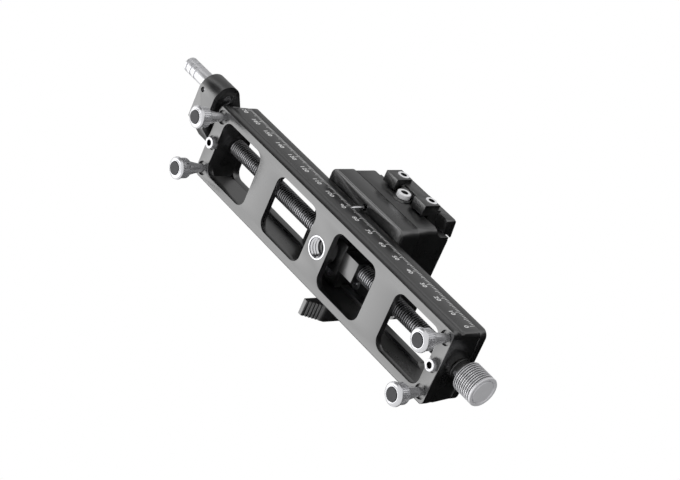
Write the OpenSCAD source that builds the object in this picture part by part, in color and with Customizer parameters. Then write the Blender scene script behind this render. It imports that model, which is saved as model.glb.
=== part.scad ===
// Macro focusing rail: a lead-screw slide with a lever-release clamp on its carriage.
// Frame: origin at the mouth of the tripod thread, in the middle of the base face,
// +Z up, +X to the knob, -Y to the side with the millimetre scale.

/* [Rail] */
// Length of the rail
rail_l = 179; // [150:1:260]
// Width of the rail above its dovetail foot
rail_w = 36; // [34:0.5:37]
// Height of the channelled body under the guide plate
body_h = 16.2; // [15.5:0.1:20]
// Thickness of the guide plate on top of the body
plate_t = 3.8; // [3:0.1:5]
// Radius of the rail's upright corners
corner_r = 3.5; // [2:0.1:5]
// Thickness of the channel floor
floor_t = 3; // [2:0.1:4]
// Thickness of the side walls
wall_t = 1.6; // [1.4:0.1:2]
// Thickness of the solid wall at each end
end_wall = 7; // [6.5:0.1:9]

/* [Dovetail] */
// Width across the dovetail foot
foot_w = 38; // [37.6:0.1:38.6]
// Height of the bottom chamfer of the foot
foot_chamfer = 0.9; // [0.5:0.1:1.2]
// Height of the upright land, measured from the base face
foot_land_top = 3; // [2.4:0.1:3.4]
// Depth of the 45 degree flank under the land
flank_d = 1.6; // [1.2:0.1:1.6]
// Height at which the side face starts again above the groove
groove_top = 6.8; // [6:0.1:8]

/* [Windows] */
// Number of windows through the floor
window_count = 4; // [2:2:6]
// Length of a window along the rail
window_l = 30.5; // [16:0.5:31]
// Width of a window
window_w = 29; // [20:0.5:30]
// Corner radius of a window
window_r = 5; // [2:0.5:8]

/* [Guide slot] */
// Width of the long slot that the carriage neck runs in
slot_w = 29.7; // [28.8:0.1:30.5]
// Length of the wide assembly opening at each end of the slot
opening_l = 18.3; // [12:0.1:24]
// Corner radius of the openings
opening_r = 4.5; // [1:0.5:6]

/* [Feet] */
// Height of the feet under the base face
foot_h = 16.6; // [12:0.1:24]
// Distance from the rail's end face to a foot axis
foot_in_x = 3.9; // [3.8:0.1:6]
// Distance from the rail's side face to a foot axis
foot_in_y = 4.15; // [3.9:0.05:6]
// Radius of the flared rim
foot_rim_r = 5.35; // [4.5:0.05:7]
// Radius of the ribbed grip
foot_grip_r = 4.8; // [4:0.05:5.2]
// Height of the ribbed grip
foot_grip_h = 4.5; // [3:0.1:7]
// Radius of the rubber pad
pad_r = 3.1; // [2:0.1:3.6]
// Height of the rubber pad
pad_h = 1.5; // [1:0.1:2.5]
// Radius of the threaded stud
stud_r = 1.5; // [1.2:0.05:2]
// Length of stud inside the rail
stud_l = 6.5; // [4:0.1:7]

/* [Lead screw] */
// Height of the screw axis above the base face
axis_h = 12.5; // [12:0.1:13]
// Radius over the screw thread
screw_r = 4; // [3:0.1:4.4]
// Radius of the plain journals
journal_r = 3; // [2:0.1:3.4]
// Outer radius of the bearing bushes
bush_r = 4.6; // [4.2:0.1:5]
// Flange thickness of the bearing bushes
bush_flange_t = 1; // [0.6:0.1:1.6]
// Radius of the bush flange
bush_flange_r = 5.4; // [5:0.1:6.5]
// Radius of the thrust collar beside the knob
collar_r = 4.9; // [4.2:0.1:6]
// Width of the thrust collar
collar_t = 3.2; // [2:0.1:5]

/* [Knob] */
// Radius of the knob
knob_r = 7.25; // [6:0.05:9]
// Length of the knob
knob_l = 11.6; // [9:0.1:18]
// Number of ring grooves in the grip
groove_count = 8; // [4:1:12]
// Width of a ring groove
groove_w = 0.5; // [0.3:0.05:0.8]
// Depth of a ring groove
groove_d = 0.45; // [0.2:0.05:0.8]
// Radius of the flat end disc
knob_disc_r = 5.5; // [4:0.1:6]

/* [Crank] */
// Thickness of the crank arm
crank_t = 12.2; // [7:0.1:13]
// Radius of the hub round the screw
crank_hub_r = 8.5; // [7:0.1:10]
// Radius of the arm's far end
crank_end_r = 7.6; // [6.5:0.1:8]
// Distance of the arm's far end from the screw axis along Y
crank_dy = 18.6; // [16:0.1:19]
// Drop of the arm's far end under the screw axis
crank_dz = 8.5; // [6:0.1:9]
// Distance of the handle axis from the screw axis along Y
handle_dy = 19.3; // [17:0.1:20]
// Drop of the handle axis under the screw axis
handle_dz = 7.8; // [6:0.1:9]
// Radius of the crank handle
handle_r = 3.75; // [3:0.05:5]
// Length of the crank handle
handle_l = 20.7; // [10:0.1:24]
// Radius of the axle that the handle turns on
axle_r = 1.5; // [1:0.1:2]

/* [Carriage] */
// Place of the carriage along the rail in the photographed position
carriage_x = -1.8; // [-60:0.1:58]
// Length of the carriage plate
carriage_l = 53.7; // [48:0.1:60]
// Width of the carriage
carriage_w = 48; // [44:0.5:56]
// Thickness of the carriage plate
carriage_t = 11; // [9:0.1:13]
// Corner radius of the carriage
carriage_r = 3.4; // [2:0.1:6]
// Air between the rail top and the carriage
carriage_gap = 0.5; // [0.3:0.1:1]
// Length of the block on the plate
block_l = 51; // [46:0.5:53]
// Height of the block's straight sides
block_h = 11.5; // [10:0.1:14]
// Radius of the scoop above the straight sides
scoop_r = 4; // [3:0.1:4.2]
// Height from the scoop's shelf to the seat of the clamp
waist_h = 8.4; // [8:0.1:11]

/* [Slide shoe] */
// Length of the shoe that runs under the guide plate
shoe_l = 22.2; // [18:0.1:26]
// Thickness of the shoe's wings
wing_t = 4; // [3:0.1:5]
// Running gap of the shoe in its guides
slide_gap = 0.3; // [0.1:0.05:0.5]
// Half width of the shoe's keel round the screw
keel_hw = 7.5; // [6:0.1:9]
// Depth of keel and nut under the screw axis
keel_d = 5.2; // [5:0.1:5.5]
// Width of the nut
nut_w = 9.8; // [9.6:0.1:12]
// Length of the nut
nut_l = 10; // [8:0.1:14]

/* [Clamp] */
// Length of the jaws
jaw_l = 44; // [40:0.5:50]
// Thickness of a jaw behind its mouth
jaw_back = 8.6; // [8:0.1:9.5]
// Depth of the seat under the jaw tops
seat_d = 5.3; // [5:0.1:6]
// Distance between the two fixed jaw screws
jaw_screw_pitch = 21.1; // [18:0.1:26]
// How far the lugs stand out from the jaw
lug_out = 3.7; // [2:0.1:5]
// Width of a lug
lug_w = 8.2; // [7:0.1:10]
// How far the rim of the moving jaw stands out towards the lever
jaw_rim = 3.2; // [2:0.1:3.3]
// Travel of the moving jaw
jaw_travel = 2.4; // [1.5:0.1:3]
// Radius of the pull shaft
shaft_r = 3; // [2.4:0.1:3.2]
// Radius of the tension screw's domed head
dome_r = 3.25; // [3:0.05:4]

/* [Lever] */
// Width and thickness of the lever arm
lever_w = 8; // [6:0.1:9]
// Distance from the pull shaft to the lever tip
lever_l = 28.4; // [24:0.1:34]
// Radius of the lever hub
lever_hub_r = 8; // [7.6:0.1:9]
// Height of the sloping thumb face
thumb_h = 9.3; // [7:0.1:12]
// Number of ridges on the thumb face
ridge_count = 5; // [3:1:7]
// Turn of the lever from closed to open, in degrees
lever_turn = 100; // [80:5:110]

/* [Hidden] */

$fn = 64;
cut = 0.5;
fit = 0.1;
air = 0.3;
edge = 0.4;
tuck = 0.02;

// Colours as the photograph shows them
black_alloy = [0.09, 0.09, 0.1];
dark_alloy = [0.16, 0.16, 0.17];
polished = [0.82, 0.82, 0.84];
steel = [0.7, 0.71, 0.73];
rubber = [0.2, 0.2, 0.21];

// Levels and half sizes of the rail
base_z = 0;
stand_z = base_z - foot_h;
body_top = base_z + body_h;
rail_top = body_top + plate_t;
half_l = rail_l / 2;
half_w = rail_w / 2;
foot_hw = foot_w / 2;
neck_hw = foot_hw - flank_d;
cavity_hw = half_w - wall_t;
cavity_hl = half_l - end_wall;
window_pitch = (2 * cavity_hl - window_l) / (window_count - 1);
foot_x = half_l - foot_in_x;
foot_y = half_w - foot_in_y;
recess_r = 3.4;
recess_d = 1.5;
foot_hole_d = 8;
opening_mid = cavity_hl - opening_l / 2;
foot_rim_z = 1.7;
foot_rim_t = 0.5;
foot_neck = 0.5;
pad_hold_share = 0.7;
pad_wall = 0.7;
cone_base_share = 0.8;
cone_r_shares = [0.57, 0.25];
cone_h_shares = [0.27, 0.58];

// Small screws: shank radius, head radius, head height and socket radius
m3_r = 1.5;
m3_head_r = 2.75;
m3_head_h = 3;
m25_r = 1.25;
m25_head_r = 2.25;
m25_head_h = 1.8;
head_sink = 0.2;
socket_d = 1.6;
socket_share = 0.55;
set_r = 1.3;
set_sink = 1;

// Fixed screws in the rail
plate_screw_l = 7;
csk_h = 1.4;
csk_socket_share = 0.8;
stop_shank_l = 5;
stop_head_out = 2;
stop_head_in = 1;
insert_r = 5.6;
insert_flange_t = 1;
insert_body_r = 5;
insert_bore_r = 3.95;
insert_h = 6;
boss_r = 7.2;

// Screw line
axis_z = base_z + axis_h;
bush_gap = 0.1;
screw_hl = cavity_hl - bush_gap;
collar_x = half_l + bush_flange_t + bush_gap;
collar_set_r = 1.05;
collar_socket_r = 0.6;
collar_socket_d = 0.8;
knob_gap = 0.64;
knob_x = collar_x + collar_t + knob_gap;
knob_rim = 1;
groove_zone = knob_l - 2 * knob_rim;
groove_pitch = groove_zone / groove_count;
knob_cap_t = 1;
knob_recess = 0.6;
knob_journal_r = 2.5;
knob_cover = 3;
crank_gap = 1.1;
crank_x = -(half_l + bush_flange_t + crank_gap);
crank_out_x = crank_x - crank_t;
axle_head_r = 2.4;
axle_head_t = 1;
axle_in = 2;
crank_journal_share = 1 / 3;
crank_set_share = 0.23;
hub_set_share = 0.35;
crank_set_x = crank_out_x + crank_t * crank_set_share;
hub_set_x = crank_x - crank_t * hub_set_share;
crank_flat_share = 0.2;
crank_low = crank_dz + crank_end_r;
handle_over = crank_low - handle_dz;
crank_flat_turn = 40;
handle_cap = 1.5;
handle_grooves = 3;
handle_groove_in = 2.9;
handle_groove_pitch = 3.5;
handle_groove_w = 0.7;

// Carriage levels
plate_z = rail_top + carriage_gap;
block_z = plate_z + carriage_t;
shelf_z = block_z + block_h;
seat_z = shelf_z + waist_h;
jaw_top = seat_z + seat_d;
car_hw = carriage_w / 2;
block_w = carriage_w;
waist_hw = car_hw - scoop_r;
car_screw_x = 13.3;
car_screw_y = 12;
car_screw_l = 18;
shoe_off = 12.1;
shoe_x1 = carriage_x + shoe_off;
shoe_x0 = shoe_x1 - shoe_l;
keel_over = 1.9;
nut_x0 = shoe_x1 + edge / 4;
nut_x1 = nut_x0 + nut_l;
wing_z1 = body_top - slide_gap;
wing_z0 = wing_z1 - wing_t;
wing_hw = cavity_hw - slide_gap;
neck_hw_shoe = slot_w / 2 - slide_gap;
keel_z = axis_z - keel_d;
screw_air = 0.6;
keel_bore_r = screw_r + screw_air;
shoe_screw_y = 11;
shoe_screw_in = 4;
shoe_screw_clear = 4.5;
shoe_screw_l = 9;
shoe_tap = 7;
nut_bite = 2;
nut_tap = 3;
nut_screw_l = carriage_t - m25_head_h - head_sink + nut_bite;
pin_r = 0.75;
pin_out = 8;
pin_in = 4;
pin_tip = 1.4;
pin_off = 1.6;
pin_seat_share = 2.2;
pin_tip_share = 1 / 3;

// Clamp
mouth_ease = 0.15;
mouth_hw = foot_hw + mouth_ease;
mouth_land = foot_land_top + fit;
seat_relief = 0.6;
seat_hw = mouth_hw - seat_relief;
shoulder_drop = 0.3;
shoulder_z = seat_z - shoulder_drop;
lip_hw = mouth_hw - flank_d - fit;
jaw_out = lip_hw + jaw_back;
jaw_seat_gap = 0.1;
shaft_drop = 2;
shaft_z = shelf_z - shaft_drop;
lug_drop = 2.3;
lug_z0 = shelf_z - lug_drop;
lug_top_gap = 1.5;
lug_z1 = seat_z - lug_top_gap;
lug_under_share = 0.3;
lug_face = jaw_out + lug_out;
jaw_screw_drop = 3.6;
jaw_screw_z = seat_z - jaw_screw_drop;
apron_out = 1;
apron_face = jaw_out + apron_out;
apron_hl = jaw_screw_pitch / 2 + lug_w / 2;
apron_rise = 2.1;
apron_z0 = shelf_z + apron_rise;
jaw_screw_l = 16;
cover_t = 1;
cover_hl = jaw_screw_pitch / 2 - lug_w / 2 - 2 * air;
pocket_hw = 10;
pocket_drop = 7.2;
pocket_z = shaft_z - pocket_drop;
tongue_gap = 0.4;
tongue_hw = pocket_hw - tongue_gap;
jaw_in = waist_hw + air;
jaw_wall_gap = 0.2;
jaw_wall_z = shelf_z + scoop_r + jaw_wall_gap;
rim_top_drop = 0.8;
guide_pin_r = 1.5;
guide_pin_x = 15;
guide_pin_z = (jaw_wall_z + seat_z) / 2;
guide_pin_in = 10;
ring_r = 6.5;
ring_bore_r = shaft_r + air;
rim_bore_r = ring_r + 1;
ring_base = 0.8;
ramp_turn = 150;
cam_rise = jaw_travel * ramp_turn / lever_turn;
cam_gap = 0.2;
cam_steps = 48;
dome_boss_r = 4.4;
dome_boss_t = 0.8;
dome_shank_r = 2;
dome_shank_l = 10;
dome_head_h = 2.6;
dome_socket_d = 1.5;
dome_socket_r = 1.7;
shaft_in = 4;
shaft_y0 = -(car_hw - shaft_in);
hub_face = jaw_out + jaw_travel + ring_base + cam_rise + cam_gap;
lever_off = 6;
lever_y0 = jaw_out + lever_off;
lever_y1 = lever_y0 + lever_w;
lever_tip_w = lever_w / 4;
ridge_r = 0.45;
cap_head_r = 4.4;
cap_head_t = 1.8;
cap_well_r = cap_head_r + air;
cap_well_d = 2.6;
cap_socket_d = 1.2;
cap_socket_r = 1.5;
cap_shank_r = 2;
cap_shank_l = 9;
shaft_y1 = lever_y1 - cap_well_d + fit / 2;
lever_bore_r = shaft_r + fit;
spring_well_r = 5.2;
spring_wire_r = 0.5;
spring_r = 4.3;
spring_turns = 7;
spring_y0 = 8;
spring_rings = 8;
spring_sides = 6;

// Bar that stands on z = 0, centred, with rounded upright corners
module rounded_bar(l, w, r, h) {
    linear_extrude(height = h)
        union() {
            square([l - 2 * r, w], center = true);
            square([l, w - 2 * r], center = true);
            for (sx = [-1, 1], sy = [-1, 1])
                translate([sx * (l / 2 - r), sy * (w / 2 - r)])
                    circle(r = r);
        }
}

// Cylinder along X from x0 to x1
module rod_x(x0, x1, r) {
    translate([x0, 0, 0])
        rotate([0, 90, 0])
            cylinder(h = x1 - x0, r = r);
}

// Cylinder along Y from y0 to y1
module rod_y(y0, y1, r) {
    translate([0, y0, 0])
        rotate([-90, 0, 0])
            cylinder(h = y1 - y0, r = r);
}

// Extrudes an outline drawn as (Y, Z) points along X, centred on x_mid
module along_x(l, x_mid = 0) {
    translate([x_mid - l / 2, 0, 0])
        rotate([90, 0, 90])
            linear_extrude(height = l)
                children();
}

// Socket screw that points up, its head under z = 0
module socket_screw(shank_l, shank_r = m3_r, head_r = m3_head_r, head_h = m3_head_h) {
    difference() {
        union() {
            translate([0, 0, -head_h])
                cylinder(h = head_h, r = head_r);
            translate([0, 0, -edge])
                cylinder(h = shank_l + edge, r = shank_r);
        }
        translate([0, 0, -head_h - cut])
            cylinder(h = socket_d + cut, r = head_r * socket_share, $fn = 6);
    }
}

module at_feet() {
    for (sx = [-1, 1], sy = [-1, 1])
        translate([sx * foot_x, sy * foot_y, 0])
            children();
}

// Side outline of the rail body: dovetail foot, groove and upright side face
module body_profile() {
    half = [
        [foot_hw - foot_chamfer, base_z],
        [foot_hw, base_z + foot_chamfer],
        [foot_hw, base_z + foot_land_top],
        [neck_hw, base_z + foot_land_top + flank_d],
        [neck_hw, base_z + groove_top - (half_w - neck_hw)],
        [half_w, base_z + groove_top],
        [half_w, body_top]];
    other = [for (i = [len(half) - 1 : -1 : 0]) [-half[i][0], half[i][1]]];
    polygon(concat(half, other));
}

module rail_body() {
    color(black_alloy)
    difference() {
        union() {
            difference() {
                intersection() {
                    along_x(rail_l)
                        body_profile();
                    translate([0, 0, base_z - cut])
                        rounded_bar(rail_l, foot_w + cut, corner_r, body_h + 2 * cut);
                }
                translate([-cavity_hl, -cavity_hw, base_z + floor_t])
                    cube([2 * cavity_hl, 2 * cavity_hw, body_h]);
            }
            translate([0, 0, base_z + floor_t - edge])
                cylinder(h = insert_h - floor_t + edge, r = boss_r);
        }
        for (i = [0 : window_count - 1])
            translate([(i - (window_count - 1) / 2) * window_pitch, 0, base_z - cut])
                rounded_bar(window_l, window_w, window_r, floor_t + 2 * cut);
        translate([0, 0, base_z - cut])
            cylinder(h = insert_h + 2 * cut, r = insert_body_r);
        translate([0, 0, base_z - cut])
            cylinder(h = insert_flange_t + cut, r = insert_r);
        at_feet() {
            translate([0, 0, base_z - cut])
                cylinder(h = recess_d + cut, r = recess_r);
            translate([0, 0, base_z])
                cylinder(h = foot_hole_d, r = stud_r + fit);
            translate([0, 0, body_top - plate_screw_l])
                cylinder(h = plate_screw_l + cut, r = m25_r + fit / 2);
        }
        for (sx = [-1, 1])
            translate([sx * foot_x, 0, base_z]) {
                translate([0, 0, -cut])
                    cylinder(h = stop_head_in + cut, r = recess_r);
                cylinder(h = stop_head_in + stop_shank_l + fit, r = m3_r + fit / 2);
            }
        translate([0, 0, axis_z])
            rod_x(-half_l - cut, half_l + cut, bush_r);
    }
}

module guide_plate() {
    color(dark_alloy)
    difference() {
        translate([0, 0, body_top])
            rounded_bar(rail_l, rail_w, corner_r, plate_t);
        translate([0, 0, body_top - cut])
            linear_extrude(height = plate_t + 2 * cut)
                square([2 * opening_mid, slot_w], center = true);
        for (sx = [-1, 1])
            translate([sx * opening_mid, 0, body_top - cut])
                rounded_bar(opening_l, 2 * cavity_hw, opening_r, plate_t + 2 * cut);
        at_feet() {
            translate([0, 0, body_top - cut])
                cylinder(h = plate_t + 2 * cut, r = m25_r + fit);
            translate([0, 0, rail_top - csk_h - fit])
                cylinder(h = csk_h + fit + cut, r1 = m25_r + fit,
                    r2 = m25_head_r + fit + cut);
        }
        translate([0, 0, axis_z])
            rod_x(-half_l - cut, half_l + cut, bush_r + fit);
    }
}

module guide_plate_screws() {
    color(steel)
    at_feet()
        translate([0, 0, rail_top - fit])
            difference() {
                union() {
                    translate([0, 0, -csk_h])
                        cylinder(h = csk_h, r1 = m25_r, r2 = m25_head_r);
                    translate([0, 0, -plate_t - plate_screw_l + 2 * fit])
                        cylinder(h = plate_t + plate_screw_l - 2 * fit - csk_h / 2, r = m25_r);
                }
                translate([0, 0, -csk_h / 2])
                    cylinder(h = csk_h, r = m25_r * csk_socket_share, $fn = 6);
            }
}

module tripod_insert() {
    color(polished)
    translate([0, 0, base_z])
        difference() {
            union() {
                cylinder(h = insert_flange_t, r = insert_r);
                cylinder(h = insert_h, r = insert_body_r);
            }
            translate([0, 0, -cut])
                cylinder(h = insert_h + 2 * cut, r = insert_bore_r);
        }
}

module stop_screws() {
    color(polished)
    for (sx = [-1, 1])
        translate([sx * foot_x, 0, base_z + stop_head_in])
            socket_screw(stop_shank_l, head_h = stop_head_in + stop_head_out);
}

// Screw-in foot: cup for the pad, flared rim, ribbed grip, hollow cone and stud
module foot() {
    grip_z0 = foot_rim_z + foot_rim_t;
    grip_z1 = grip_z0 + foot_grip_h;
    cone_r = foot_grip_r * cone_base_share;
    neck_r = stud_r + foot_neck;
    cone_h = foot_h - grip_z1;
    cup_d = pad_h * pad_hold_share;
    color(polished)
    rotate_extrude()
        polygon([
            [0, pad_h],
            [pad_r + fit, pad_h],
            [pad_r + fit, pad_h - cup_d],
            [pad_r + pad_wall, pad_h - cup_d],
            [foot_rim_r, foot_rim_z],
            [foot_rim_r, grip_z0],
            [foot_grip_r, grip_z0],
            [foot_grip_r, grip_z1],
            [cone_r, grip_z1],
            [neck_r + (cone_r - neck_r) * cone_r_shares[0], grip_z1 + cone_h * cone_h_shares[0]],
            [neck_r + (cone_r - neck_r) * cone_r_shares[1], grip_z1 + cone_h * cone_h_shares[1]],
            [neck_r, grip_z1 + cone_h],
            [stud_r, grip_z1 + cone_h],
            [stud_r, foot_h + stud_l],
            [0, foot_h + stud_l]]);
}

module pad() {
    color(rubber)
    cylinder(h = pad_h, r = pad_r);
}

module bush() {
    color(dark_alloy)
    difference() {
        union() {
            rod_x(-end_wall, 0, bush_r);
            rod_x(0, bush_flange_t, bush_flange_r);
        }
        rod_x(-end_wall - cut, bush_flange_t + cut, journal_r + fit);
    }
}

module bush_knob_end() {
    translate([half_l, 0, axis_z])
        bush();
}

module bush_crank_end() {
    translate([-half_l, 0, axis_z])
        mirror([1, 0, 0])
            bush();
}

module lead_screw() {
    color(steel)
    translate([0, 0, axis_z]) {
        rod_x(-screw_hl, screw_hl, screw_r);
        rod_x(crank_out_x + crank_t * crank_journal_share, knob_x, journal_r);
        rod_x(knob_x - edge, knob_x + knob_l - knob_cover, knob_journal_r);
    }
}

module thrust_collar() {
    color(dark_alloy)
    translate([collar_x, 0, axis_z])
        difference() {
            rod_x(0, collar_t, collar_r);
            rod_x(-cut, collar_t + cut, journal_r);
            translate([collar_t / 2, 0, -collar_r - cut])
                cylinder(h = collar_r, r = collar_set_r);
        }
}

module collar_set_screw() {
    color(polished)
    translate([collar_x + collar_t / 2, 0, axis_z - collar_r])
        difference() {
            cylinder(h = collar_r - journal_r, r = collar_set_r);
            translate([0, 0, -cut])
                cylinder(h = cut + collar_socket_d, r = collar_socket_r, $fn = 6);
        }
}

module knob() {
    chamfer = 0.5;
    color(polished)
    translate([knob_x, 0, axis_z])
        difference() {
            rotate([0, 90, 0])
                rotate_extrude()
                    difference() {
                        polygon([
                            [0, 0],
                            [knob_r - chamfer, 0],
                            [knob_r, chamfer],
                            [knob_r, knob_l - chamfer],
                            [knob_r - chamfer, knob_l],
                            [0, knob_l]]);
                        for (i = [0 : groove_count])
                            translate([knob_r - groove_d, knob_rim + i * groove_pitch - groove_w / 2])
                                square([groove_d + cut, groove_w]);
                    }
            rod_x(-cut, knob_l - knob_cover + fit, knob_journal_r);
            rod_x(knob_l - knob_recess - knob_cap_t, knob_l + cut, knob_disc_r + fit);
        }
}

module knob_end_cap() {
    color(polished)
    translate([knob_x + knob_l - knob_recess - knob_cap_t, 0, axis_z])
        rod_x(0, knob_cap_t + knob_recess / 3, knob_disc_r);
}

// Arm outline as (Y, Z) about the screw axis: round hub, round end and a full lower edge
module crank_outline() {
    hub = crank_hub_r - tuck;
    end = crank_end_r - tuck;
    low = crank_dz + end;
    lean = atan2(crank_dz, crank_dy);
    circle(r = crank_hub_r);
    translate([-crank_dy, -crank_dz])
        circle(r = crank_end_r);
    polygon([
        [-crank_dy, -low],
        [-crank_dy * crank_flat_share, -low],
        [hub * cos(crank_flat_turn), -hub * sin(crank_flat_turn)],
        [-hub * sin(lean), hub * cos(lean)],
        [-crank_dy - end * sin(lean), -crank_dz + end * cos(lean)]]);
}

module crank_arm() {
    color(black_alloy)
    difference() {
        translate([0, 0, axis_z])
            along_x(crank_t, crank_x - crank_t / 2)
                crank_outline();
        translate([0, 0, axis_z])
            rod_x(crank_out_x + crank_t * crank_journal_share - fit, crank_x + cut, journal_r);
        translate([0, -handle_dy, axis_z - handle_dz]) {
            rod_x(crank_out_x - cut, crank_x + cut, axle_r);
            rod_x(crank_x - axle_head_t, crank_x + cut, axle_head_r);
        }
        translate([crank_set_x, -handle_dy, axis_z - crank_low - cut])
            cylinder(h = handle_over + cut, r = set_r);
        translate([hub_set_x, 0, axis_z])
            cylinder(h = crank_hub_r + cut, r = set_r);
    }
}

module crank_set_screws() {
    color(steel) {
        translate([crank_set_x, -handle_dy, axis_z - crank_low + set_sink])
            cylinder(h = handle_over - axle_r - set_sink, r = set_r);
        translate([hub_set_x, 0, axis_z + journal_r])
            cylinder(h = crank_hub_r - journal_r - set_sink, r = set_r);
    }
}

module handle_axle() {
    color(steel)
    translate([0, -handle_dy, axis_z - handle_dz]) {
        rod_x(crank_out_x - handle_l + axle_in, crank_x - edge, axle_r);
        rod_x(crank_x - axle_head_t, crank_x - edge / 2, axle_head_r);
    }
}

module crank_handle() {
    round_r = 0.8;
    color(polished)
    translate([crank_out_x - air, -handle_dy, axis_z - handle_dz])
        rotate([0, -90, 0])
            rotate_extrude()
                difference() {
                    polygon([
                        [axle_r + fit, 0],
                        [handle_r - edge, 0],
                        [handle_r, edge],
                        [handle_r, handle_l - round_r],
                        [handle_r - round_r, handle_l],
                        [0, handle_l],
                        [0, handle_l - handle_cap],
                        [axle_r + fit, handle_l - handle_cap]]);
                    for (i = [0 : handle_grooves - 1])
                        translate([handle_r - groove_d, handle_l - handle_groove_in - i * handle_groove_pitch])
                            square([groove_d + cut, handle_groove_w]);
                }
}

module at_carriage() {
    translate([carriage_x, 0, 0])
        children();
}

module at_car_screws(z) {
    for (sx = [-1, 1], sy = [-1, 1])
        translate([carriage_x + sx * car_screw_x, sy * car_screw_y, z])
            children();
}

module at_shoe_screws(z) {
    for (x = [shoe_x0 + shoe_screw_in, shoe_x1 - shoe_screw_in - shoe_screw_clear], sy = [-1, 1])
        translate([x, sy * shoe_screw_y, z])
            children();
}

module at_nut_screws(z) {
    for (x = [nut_x0 + nut_l / 4, nut_x1 - nut_l / 4])
        translate([x, 0, z])
            children();
}

module carriage_plate() {
    color(black_alloy)
    difference() {
        at_carriage() {
            translate([0, 0, plate_z + edge])
                rounded_bar(carriage_l, carriage_w, carriage_r, carriage_t - 2 * edge);
            translate([0, 0, plate_z])
                rounded_bar(carriage_l - 2 * edge, carriage_w - 2 * edge, carriage_r - edge, carriage_t);
        }
        at_car_screws(plate_z) {
            translate([0, 0, -cut])
                cylinder(h = m3_head_h + cut + fit, r = m3_head_r + fit);
            cylinder(h = carriage_t + cut, r = m3_r + fit);
        }
        at_shoe_screws(plate_z - cut)
            cylinder(h = shoe_tap, r = m3_r);
        at_nut_screws(plate_z - cut) {
            cylinder(h = carriage_t + 2 * cut, r = m25_r + fit);
            translate([0, 0, cut + carriage_t - m25_head_h - head_sink])
                cylinder(h = m25_head_h + head_sink + cut, r = m25_head_r + fit);
        }
        translate([carriage_x, -half_w - pin_off, plate_z - cut])
            cylinder(h = pin_in + cut, r = pin_r);
        translate([carriage_x, -half_w - pin_off, plate_z - cut])
            cylinder(h = pin_in / 2 + cut, r = pin_r * pin_seat_share);
    }
}

module carriage_screws() {
    color(steel)
    at_car_screws(plate_z + m3_head_h)
        socket_screw(car_screw_l - m3_head_h);
}

module slide_shoe() {
    shoe_mid = (shoe_x0 + shoe_x1) / 2;
    color(dark_alloy)
    difference() {
        union() {
            along_x(shoe_l - keel_over, shoe_mid - keel_over / 2)
                union() {
                    translate([-wing_hw, wing_z0])
                        square([2 * wing_hw, wing_t]);
                    translate([-neck_hw_shoe, wing_z0])
                        square([2 * neck_hw_shoe, plate_z - wing_z0]);
                }
            along_x(shoe_l, shoe_mid)
                translate([-keel_hw, keel_z])
                    square([2 * keel_hw, plate_z - keel_z]);
        }
        translate([0, 0, axis_z])
            rod_x(shoe_x0 - cut, shoe_x1 + cut, keel_bore_r);
        at_shoe_screws(wing_z0) {
            translate([0, 0, -cut])
                cylinder(h = m3_head_h + cut + fit, r = m3_head_r + fit);
            cylinder(h = plate_z - wing_z0 + cut, r = m3_r + fit);
        }
    }
}

module shoe_screws() {
    color(steel)
    at_shoe_screws(wing_z0 + m3_head_h)
        socket_screw(shoe_screw_l);
}

module lead_nut() {
    color(black_alloy)
    difference() {
        translate([nut_x0, -nut_w / 2, keel_z - edge])
            cube([nut_l, nut_w, plate_z - keel_z + edge]);
        translate([0, 0, axis_z])
            rod_x(nut_x0 - cut, nut_x1 + cut, screw_r + fit);
        at_nut_screws(plate_z + cut)
            mirror([0, 0, 1])
                cylinder(h = nut_tap + cut, r = m25_r);
    }
}

module nut_screws() {
    color(steel)
    at_nut_screws(block_z - head_sink - m25_head_h)
        mirror([0, 0, 1])
            socket_screw(nut_screw_l, m25_r, m25_head_r, m25_head_h);
}

module index_pin() {
    color(polished)
    translate([carriage_x, -half_w - pin_off, plate_z])
        rotate([180, 0, 0])
            union() {
                translate([0, 0, -pin_in])
                    cylinder(h = pin_in + pin_out - pin_tip, r = pin_r);
                translate([0, 0, pin_out - pin_tip])
                    cylinder(h = pin_tip, r1 = pin_r, r2 = pin_r * pin_tip_share);
            }
}

// End outline of the block: straight sides, a scoop on each side, the narrow waist and the
// seat, which stands a little above the shoulders that carry the jaws
module block_profile() {
    difference() {
        union() {
            translate([-car_hw, block_z])
                square([2 * car_hw, block_h]);
            translate([-waist_hw, shelf_z - edge])
                square([2 * waist_hw, shoulder_z - shelf_z + edge]);
            translate([-seat_hw, shelf_z])
                square([2 * seat_hw, waist_h]);
            for (s = [-1, 1])
                translate([s * waist_hw - (s > 0 ? edge : scoop_r), shelf_z - edge])
                    square([scoop_r + edge, scoop_r + edge]);
        }
        for (s = [-1, 1])
            translate([s * car_hw, shelf_z + scoop_r])
                circle(r = scoop_r);
    }
}

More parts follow.
